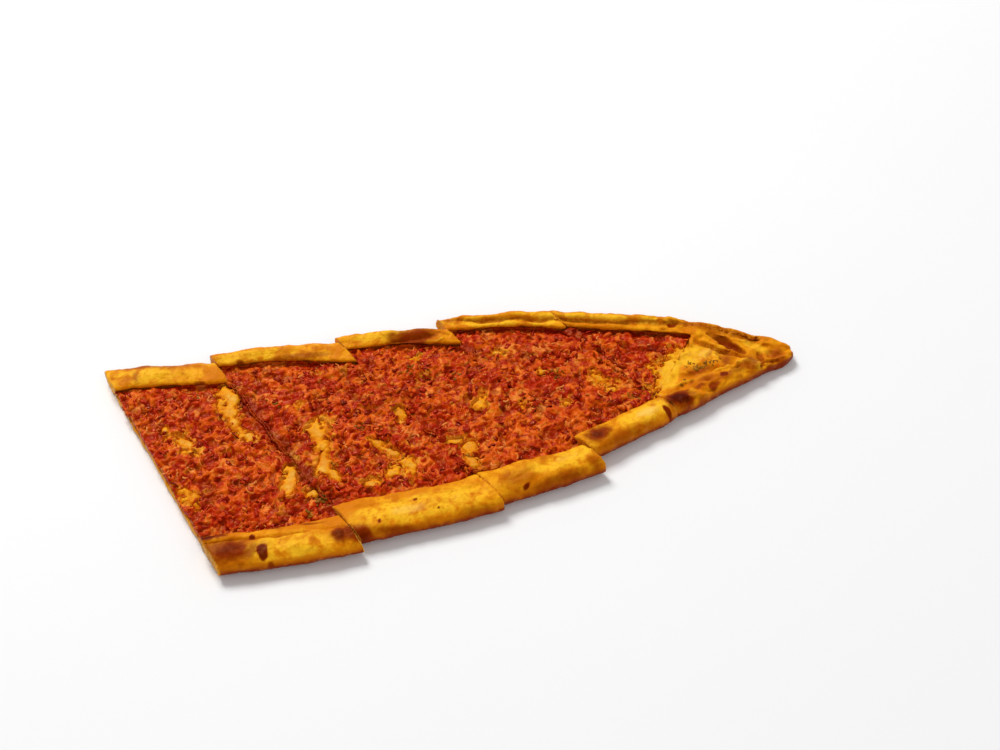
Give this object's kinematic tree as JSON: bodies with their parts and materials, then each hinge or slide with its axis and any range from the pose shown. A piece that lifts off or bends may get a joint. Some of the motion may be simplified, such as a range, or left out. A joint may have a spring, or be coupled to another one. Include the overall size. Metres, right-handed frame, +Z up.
{
  "type": "turkish pide",
  "caption": "Boat-shaped flatbread half with folded edges and a baked minced-meat and pepper filling, open at one cut end, pinched at the other, cut across into slices",
  "frame": {"origin": "middle of the bounding box in plan, on the surface that the bread lies on", "axes": "+X along the bread towards the pinched tip, +Y across it, +Z up from the underside"},
  "size_m": [0.4174, 0.1744, 0.0131],
  "materials": {
    "crust": "baked dough, golden with brown scorches, faint oil sheen",
    "topping": "oily baked minced meat with red pepper, onion and parsley"
  },
  "bodies": {
    "root": {"crust_slice_1": "crust", "crust_slice_2": "crust", "crust_slice_3": "crust", "crust_slice_4": "crust", "crust_slice_5": "crust", "topping_slice_1": "topping", "topping_slice_2": "topping", "topping_slice_3": "topping", "topping_slice_4": "topping", "topping_slice_5": "topping"}
  },
  "joints": []
}
